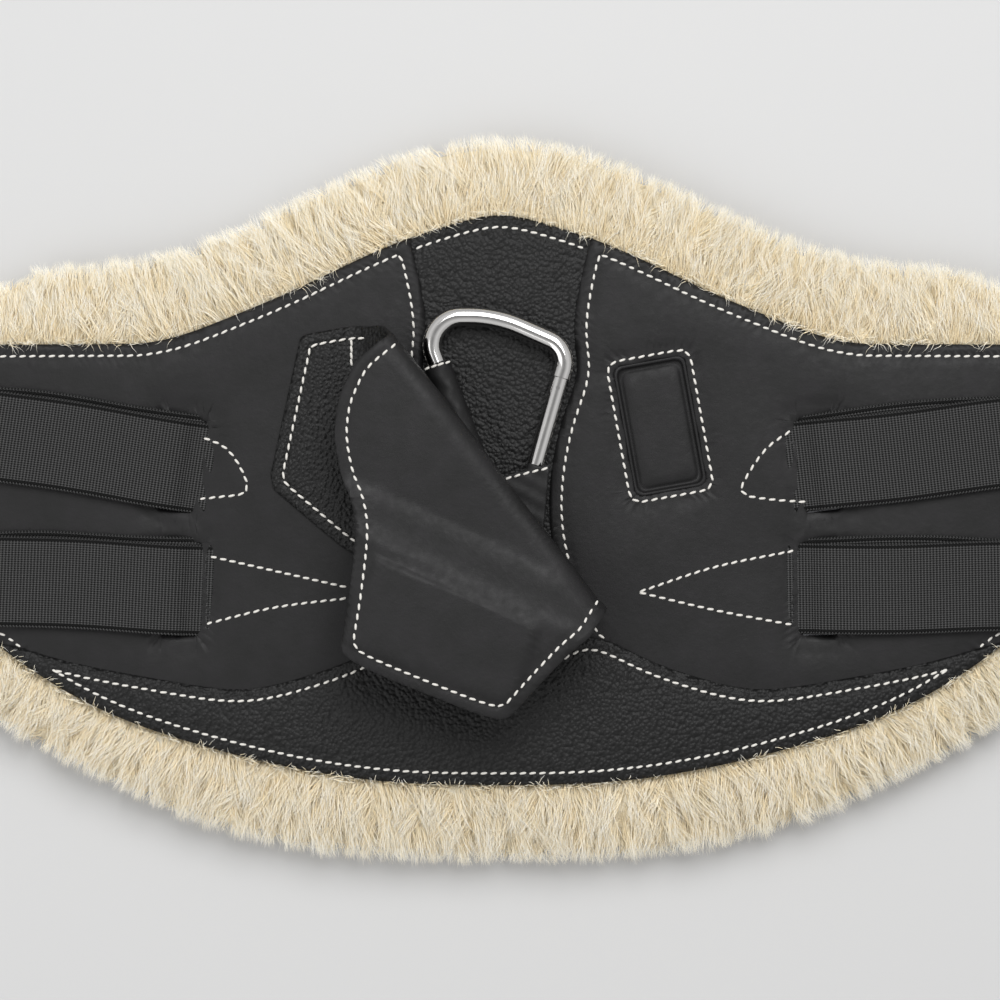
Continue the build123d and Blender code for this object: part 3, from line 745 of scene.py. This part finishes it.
def flap_outline():
    """The flap laid flat, as one loop of (along the fold, out from it)."""
    front = fold_spot(base_edge)
    rear = fold_spot(base_rear)
    ends = []
    for group in (free_end, free_tip, free_rear):
        spots = fold_spot(group)
        spots[:, 1] = roll_run - spots[:, 1]
        ends.append(curve_through(spots, 0.0015) if len(spots) > 3 else spots)
    quarter = roll_run / 4
    over_front = [(-0.0848, 0), (-0.0797, quarter), (-0.0768, 2 * quarter), (-0.0760, 3 * quarter)]
    over_rear = [(0.0716, roll_run), (0.0694, 3 * quarter), (0.0684, 2 * quarter), (0.0690, 0)]
    return np.vstack([front, over_front, *ends, over_rear, rear])


def closed_height(plan):
    """Height of the flap's middle surface when it is closed: it bridges the carabiner."""
    rest = panel_top + flap_half
    left = np.clip((plan[:, 0] + 0.062) / 0.018, 0, 1)
    across = (plan - seat_middle) @ seat_x
    right = np.clip((-0.0172 - across) / 0.023, 0, 1)
    left, right = left * left * (3 - 2 * left), right * right * (3 - 2 * right)
    end_lift = 0.0016 * np.clip((plan[:, 0] - 0.02) / 0.02, 0, 1)
    return rest + end_lift + (bridge - rest - end_lift) * np.minimum(left, right)


magnet_pad = mm([(-50, -25.1), (15.1, -51.9), (4.6, -83.4), (-66, -56.8)])


def make_flap():
    """The two-sided flap with its rows of stitches, folded back at rest round the fold's joint."""
    loop = even(flap_outline(), 0.0018)
    sheet = grid_sheet([loop], 0.0026)
    sheet.verts.ensure_lookup_table()
    flat = np.array([v.co.to_tuple()[:2] for v in sheet.verts])
    faces = [[v.index for v in f.verts] for f in sheet.faces]
    rim = [(e.verts[0].index, e.verts[1].index) for e in sheet.edges if len(e.link_faces) == 1]
    facing = {(a, b) for face in faces for a, b in zip(face, face[1:] + face[:1])}
    sheet.free()
    away = edge_distance(flat, [loop])

    def place(points, lift):
        """Flat spots placed on the folded flap at rest. lift is towards the sheet's grained side."""
        plan = roll_start + points[:, :1] * fold_axis + points[:, 1:] * fold_out
        z = closed_height(plan) + lift
        bend = np.clip(points[:, 1] / roll_radius, 0, math.pi)
        depth = hinge.z - z
        past_base = np.where(bend < math.pi, depth * np.sin(bend), roll_run - points[:, 1])
        out = np.where(points[:, 1] < 0, points[:, 1], past_base)
        height = hinge.z - depth * np.cos(bend)
        spot = roll_start + points[:, :1] * fold_axis + out[:, None] * fold_out
        return np.column_stack([spot, height])

    # softness: rounded edges, a groove along the seam, the magnet pad raised on the lining side
    thin = flap_half * (1 - 0.55 * np.exp(-away / 0.0008))
    groove = 0.00045 * np.exp(-((away - seam_inset) / 0.0012) ** 2)
    stuffed = 0.0004 * (1 - np.exp(-np.maximum(away - seam_inset, 0) / 0.006))
    rest_plan = roll_start + flat[:, :1] * fold_axis + (roll_run - flat[:, 1:]) * fold_out
    pad_gap = edge_distance(rest_plan, [magnet_pad])
    pad_gap = np.where(inside(rest_plan, magnet_pad), pad_gap, -pad_gap)
    pad = np.clip((pad_gap + 0.0030) / 0.0036, 0, 1) * np.clip(away / 0.0022, 0, 1)
    pad = 0.0016 * pad * pad * (3 - 2 * pad) * (flat[:, 1] > roll_run)
    slack = 0.0006 * np.sin(flat[:, 0] * 70 + 0.6) * np.sin(flat[:, 1] * 45) * np.clip(away / 0.03, 0, 1)
    outer = place(flat, thin + stuffed - groove + slack)
    inner = place(flat, -(thin + stuffed + pad - groove) + slack)
    count = len(flat)
    vertices = np.vstack([outer, inner])
    made = [tuple(f) for f in faces] + [tuple(count + k for k in reversed(f)) for f in faces]
    slots = [0] * len(faces) + [1] * len(faces)
    for a, b in rim:
        if (a, b) not in facing:
            a, b = b, a
        made.append((b, a, count + a, count + b))
        slots.append(2)
    piece = add_mesh("cover_flap", vertices, made, [grained, lining, raw_edge], slots)
    low = (hinge.x, hinge.y, bridge + 0.0002)
    high = (hinge.x, hinge.y, 2 * hinge.z - bridge - 0.0002)
    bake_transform(piece)
    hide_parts("flap_base", "flap_bend", "flap_end")

    # rows of stitches: on the lining side round the free end, on the grained side round the base
    row = inset(loop, seam_inset)
    span = row[:, 1]
    free = open_runs(row, span > roll_run * 0.62)
    sewn = open_runs(row, span < -0.004)
    on_top = skin_top(piece)
    lining_rows = [place(r, -flap_half)[:, :2] for r in free]
    side_row = curve_through(fold_spot([(-62.3, 67.6), (-62.3, 62.05), (-62.3, 56.5)]))
    base_rows = [place(r, flap_half + 0.0002) for r in sewn + [side_row]]
    stitch_row("flap_lining_stitches", lining_rows, on_top, blend=("girth", "flap", low, high))
    flat_end = open_runs(row, span > roll_run + 0.003)
    outer_rows = [place(r, flap_half - 0.0001) for r in flat_end]
    stitch_row("flap_outer_stitches", outer_rows, None, blend=("girth", "flap", low, high), under=True)
    stitch_row("flap_base_stitches", base_rows, None)


make_flap()


# mouths of the keeper
mouths = [mm([(-31.4, 54.9), (-26.2, 56.5), (-20.9, 57.9)]), mm([(1.6, 8.8), (11, 11.4), (20.4, 13.6)])]
stitch_row("keeper_stitches", mouths, skin_top(keeper))


# ---- wool ----
cream = (0.93, 0.84, 0.64)
pale = (0.97, 0.94, 0.86)


def wool_material():
    """Cream wool, lumpy and matted."""
    material, tree, shader = new_material("wool_core", cream, 0.95)
    point = object_point(tree)
    lumps = noise(tree, point, 160, 6, 0.7)
    colour = ramp(tree, lumps, [(0.3, (0.84, 0.70, 0.46)), (0.55, cream), (0.75, pale)])
    tree.links.new(colour, shader.inputs["Base Color"])
    fibres = noise(tree, point, 1500, 4, 0.7)
    under = bump(tree, shader, lumps, 0.9, 0.004)
    bump(tree, shader, fibres, 0.8, 0.0008, under)
    return material


def rim_frame(step=0.001):
    """Points round the leather body's edge with outward directions and the wool's width there."""
    edge = even(top_outline("back_lining")[0], step)
    if shoelace(edge) < 0:
        edge = edge[::-1]
    run = np.roll(edge, -6, axis=0) - np.roll(edge, 6, axis=0)
    run /= np.linalg.norm(run, axis=1)[:, None]
    out = np.stack([run[:, 1], -run[:, 0]], axis=1)
    outer = even(top_outline("fleece_pile")[0], 0.002)
    width = edge_distance(edge, [outer]) + 0.006
    reach = 15
    kernel = np.ones(2 * reach + 1) / (2 * reach + 1)

    def averaged(values):
        """A moving average round the closed edge."""
        return np.convolve(np.concatenate([values[-reach:], values, values[:reach]]), kernel, "valid")

    width = averaged(width)
    out = np.stack([averaged(out[:, k]) for k in (0, 1)], axis=1)
    out /= np.linalg.norm(out, axis=1)[:, None]
    return edge, out, width


edge, outward, rim_width = rim_frame()
wool_top = panel_low - 0.001


def rim_height(part):
    """Height of the dense wool at a part of the rim's width: 0 at the leather, 1 at its outer edge."""
    return wool_top * (1 - np.clip(part, 0, 1) ** 2.4) ** 0.62


strap_frames = [strap_frame(name) for name in strap_names]


# distance out from the heel bar, and the height there that wool stays below
strap_underside = (
    [-0.045, -0.034, -0.030, -0.024, -0.015, -0.009],
    [panel_top, 0.0235, 0.0195, 0.0112, 0.0062, 0.0030],
)


def under_straps(spots):
    """Wool is pressed down where an elastic hangs over it."""
    for heel, along, front in strap_frames:
        rel = spots[..., :2] - heel[:2]
        u, v = rel @ along[:2], rel @ front[:2]
        limit = np.interp(u, *strap_underside)
        covered = (np.abs(v) < strap_half + 0.003) & (u > -0.036)
        pressed = np.minimum(spots[..., 2], np.maximum(limit, 0.0004))
        spots[..., 2] = np.where(covered, pressed, spots[..., 2])
    return spots


def make_wool_core():
    """Dense wool under the fibres: a lumpy ring round the body, closed underneath."""
    count = len(edge)
    upper, hidden = 22, 6
    parts = np.concatenate([np.linspace(-0.35, 0.9, upper), [0.88, 0.6, 0.2, -0.2]])
    crown = rim_height(np.clip(parts[:upper], 0, 0.93)) - 0.0015
    heights = np.concatenate([crown, [0.004, 0.0008, 0.0005, 0.0005]])
    # the first rings run under the leather
    heights[:hidden] = panel_low - 0.0075
    rings = []
    for part, height in zip(parts, heights):
        ring = np.column_stack([edge + outward * (rim_width * part)[:, None], np.full(count, height)])
        x, y = ring[:, 0], ring[:, 1]
        lump = np.sin(x * 520 + 9 * np.sin(y * 130)) * np.sin(y * 470 + 7 * np.sin(x * 110))
        ring[:, 2] += 0.0009 * lump * (height > 0.003) * (part > 0)
        rings.append(under_straps(ring))
    vertices = np.vstack(rings)
    faces = []
    for k in range(len(rings) - 1):
        for s in range(count):
            n = (s + 1) % count
            faces.append((k * count + s, k * count + n, (k + 1) * count + n, (k + 1) * count + s))
    faces.append([(len(rings) - 1) * count + s for s in range(count)])
    faces.append([s for s in reversed(range(count))])
    piece = add_mesh("wool_core", vertices, faces, [wool_material()])
    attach(piece, "girth")
    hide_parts("fleece_pile")


def make_fibres(name, first, last, count):
    """Curved, tapering wool fibres on one stretch of the rim. They gather into locks and stand outwards."""
    stations, sides = 6, 3
    s = rng.uniform(first, last, count)
    at = s.astype(int) % len(edge)
    root_part = rng.beta(1.0, 1.15, count) * 1.04 - 0.10
    lock_run = 4.5
    band = (root_part * 4.5 + 3).astype(int)
    cell = (s / lock_run + band * 0.37).astype(int)
    from_middle = (s / lock_run + band * 0.37 - cell - 0.5) * lock_run * MM
    lock = cell * 7 + band
    lock_turn = (np.sin(lock * 12.9898) * 43758.5453) % 1.0
    lock_rise = (np.sin(lock * 78.233) * 12543.123) % 1.0
    low = rng.uniform(0, 1, count) < 0.22
    narrow = np.clip(rim_width[at] / 0.032, 0.6, 1)
    length = (0.0125 + 0.0065 * rng.uniform(size=count) + 0.003 * lock_rise) * narrow
    reach_left = rim_width[at] * (1.03 + 0.05 * lock_rise) - rim_width[at] * root_part
    flat_lift = rng.uniform(-14, 10, count)
    stood_up = 30 * (1 - np.clip(root_part, 0, 1)) + rng.uniform(-10, 16, count)
    lift = np.radians(np.where(low, flat_lift, stood_up))
    length = np.minimum(length, np.maximum(reach_left, 0.004) * 1.15)
    # here and there a lock laps back over the leather's edge
    patch = 0.5 + 0.5 * np.sin(s * 0.031 + 2 * np.sin(s * 0.0113)) * np.sin(s * 0.0071 + 1.0)
    wisp = (rng.uniform(size=count) < 0.02 + 0.09 * patch) & (root_part < 0.25) & ~low
    length = np.where(wisp, rng.uniform(0.004, 0.0085, count), length)
    root_part = np.where(wisp, rng.uniform(0.02, 0.09, count), root_part)
    sway = (lock_turn - 0.5) * 1.15 + rng.normal(0, 0.14, count)
    n = outward[at]
    side = np.stack([-n[:, 1], n[:, 0]], axis=1)
    facing = np.where(wisp, -0.55, 1.0)
    sideways = np.sin(sway) + wisp * np.sign(lock_turn - 0.5) * 0.8
    heading = n * (np.cos(sway) * facing)[:, None] + side * sideways[:, None]
    heading /= np.linalg.norm(heading, axis=1)[:, None]
    start = edge[at] + n * (rim_width[at] * root_part)[:, None] + side * ((s % 1.0) * MM)[:, None]
    root_height = rim_height(np.clip(root_part, 0, 0.95)) - 0.0016
    height = np.where(low, rng.uniform(0.001, 0.008, count), root_height)
    t = np.linspace(0, 1, stations)[None, :]
    phase = rng.uniform(0, 2 * math.pi, count)[:, None]
    crimp = 0.00055 * np.sin(t * rng.uniform(5, 10, count)[:, None] + phase) * t
    curl = (rng.uniform(-1, 1, count) * 0.0012 + (lock_rise - 0.5) * 0.007)[:, None] * t**2
    curl = curl - 0.75 * from_middle[:, None] * t**1.5
    far = length[:, None] * t
    spots = np.empty((count, stations, 3))
    across = np.stack([-heading[:, 1], heading[:, 0]], axis=1)
    level = far * np.cos(lift)[:, None]
    bent = across[:, None] * (crimp + curl)[..., None]
    spots[..., :2] = start[:, None] + heading[:, None] * level[..., None] + bent
    droop = 0.35 * length[:, None] * t**2
    spots[..., 2] = height[:, None] + far * np.sin(lift)[:, None] - droop + crimp * 0.7
    spots[..., 2] = np.maximum(spots[..., 2], 0.0005 + 0.0004 * t)
    over = wisp[:, None] * np.clip(t * 3, 0, 1)
    spots[..., 2] = np.maximum(spots[..., 2], over * (panel_top + 0.0007 + 0.0009 * np.sin(t * math.pi)))
    under_straps(spots)
    radius = (0.00016 * rng.uniform(0.7, 1.3, count))[:, None] * (1 - t**1.6 * 0.94)
    tangent = np.gradient(spots, axis=1)
    tangent /= np.linalg.norm(tangent, axis=2, keepdims=True) + 1e-12
    first_side = np.cross(tangent, (0, 0, 1.0))
    first_side /= np.linalg.norm(first_side, axis=2, keepdims=True) + 1e-12
    second = np.cross(tangent, first_side)
    angles = np.arange(sides) * 2 * math.pi / sides
    cosine, sine = np.cos(angles)[None, None, :, None], np.sin(angles)[None, None, :, None]
    ring = first_side[:, :, None] * cosine + second[:, :, None] * sine
    points = spots[:, :, None] + ring * radius[:, :, None, None]
    points[..., 2] = np.maximum(points[..., 2], 0.0002)
    vertices = points.reshape(-1, 3)
    k, r = np.meshgrid(np.arange(stations - 1), np.arange(sides), indexing="ij")
    here, onward, turned = k * sides, (k + 1) * sides, (r + 1) % sides
    quad = np.stack([here + r, here + turned, onward + turned, onward + r], axis=-1)
    quads = (np.arange(count)[:, None, None] * stations * sides + quad.reshape(1, -1, 4)).reshape(-1, 4)
    mesh = bpy.data.meshes.new(name)
    mesh.vertices.add(len(vertices))
    mesh.vertices.foreach_set("co", vertices.ravel())
    mesh.loops.add(quads.size)
    mesh.loops.foreach_set("vertex_index", quads.ravel().astype(np.int32))
    mesh.polygons.add(len(quads))
    mesh.polygons.foreach_set("loop_start", np.arange(0, quads.size, 4, dtype=np.int32))
    # each fibre has one of three tones, and its outer half is paler
    tone = rng.uniform(0, 3, count).astype(int)
    outer_half = (quad.reshape(-1, 4)[:, 0] // sides >= 3).astype(int)
    index = (tone[:, None] * 2 + outer_half[None, :]).reshape(-1)
    for material in fibre_materials:
        mesh.materials.append(material)
    mesh.polygons.foreach_set("material_index", index.astype(np.int32))
    mesh.polygons.foreach_set("use_smooth", np.ones(len(quads), bool))
    mesh.update(calc_edges=True)
    mesh.validate()
    piece = bpy.data.objects.new(name, mesh)
    bpy.context.scene.collection.objects.link(piece)
    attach(piece, "girth")


fibre_materials = []
for label, root, tip in (
    ("warm", (0.90, 0.77, 0.53), (0.96, 0.88, 0.70)),
    ("cream", (0.93, 0.83, 0.62), (0.97, 0.92, 0.79)),
    ("pale", (0.95, 0.88, 0.72), (0.98, 0.96, 0.89)),
):
    fibre_materials.append(plain(f"wool_{label}_root", root, 0.85, Specular_IOR_Level=0.2))
    fibre_materials.append(plain(f"wool_{label}_tip", tip, 0.8, Specular_IOR_Level=0.2))

make_wool_core()
sectors, fibres = 8, 6050
share = len(edge) / sectors
for sector in range(sectors):
    make_fibres(f"wool_fibres_{sector + 1}", sector * share, (sector + 1) * share, fibres)


# ---- camera, light and floor ----
def studio():
    """A grey paper floor under soft light, seen from straight above."""
    far, level = 3, -0.0004
    corners = [(-far, -far, level), (far, -far, level), (far, far, level), (-far, far, level)]
    paper = plain("floor_paper", grey(0.50), 0.95, Specular_IOR_Level=0.0)
    floor = add_mesh("floor", corners, [(0, 1, 2, 3)], [paper])
    scene = bpy.context.scene
    world = bpy.data.worlds.new("studio")
    world.use_nodes = True
    # a soft ring of light round a dimmer ceiling, so that curved leather and steel catch it
    tree = world.node_tree
    coords = tree.nodes.new("ShaderNodeTexCoord")
    parts = tree.nodes.new("ShaderNodeSeparateXYZ")
    tree.links.new(coords.outputs["Generated"], parts.inputs["Vector"])
    stops = [(0.0, 0.62), (0.35, 0.75), (0.7, 1.0), (0.9, 0.75), (1.0, 0.35)]
    sky = ramp(tree, parts.outputs["Z"], [(position, grey(value)) for position, value in stops])
    tree.links.new(sky, tree.nodes["Background"].inputs["Color"])
    tree.nodes["Background"].inputs["Strength"].default_value = 0.88
    scene.world = world
    for name, place, size, power in (
        ("key", (0.25, 0.9, 1.5), 1.1, 26),
        ("fill", (-1.1, -0.5, 1.2), 1.4, 8),
    ):
        light = bpy.data.lights.new(name, "AREA")
        light.size = size
        light.energy = power
        lamp = bpy.data.objects.new(name, light)
        lamp.location = place
        lamp.rotation_euler = (Vector((0, 0, 0)) - Vector(place)).to_track_quat("-Z", "Y").to_euler()
        scene.collection.objects.link(lamp)
    camera_data = bpy.data.cameras.new("camera")
    distance, seen, sensor = 1.6, 0.42, 36
    camera_data.sensor_width = sensor
    camera_data.lens = sensor * distance / seen
    camera = bpy.data.objects.new("camera", camera_data)
    camera.location = (0, 0.0002, panel_top + distance)
    camera.rotation_euler = (0, 0, 0)
    scene.collection.objects.link(camera)
    scene.camera = camera
    scene.view_settings.view_transform = "Standard"


studio()


# ---- metal of the CAD pieces that are seen as they are ----
def metal_of(node):
    """Steel for a node, or None where the node isn't bare metal."""
    if node in ("seat_magnet", "flap_magnet", "gate_spring", "gate_plunger"):
        return dull_steel
    if "buckle" in node or node.startswith("gate") or node in ("carabiner_body", "carabiner_gate"):
        return steel
    return None


for node in frame["nodes"]:
    metal = metal_of(node)
    if metal:
        looks = node_object(node).data.materials
        looks.clear()
        looks.append(metal)
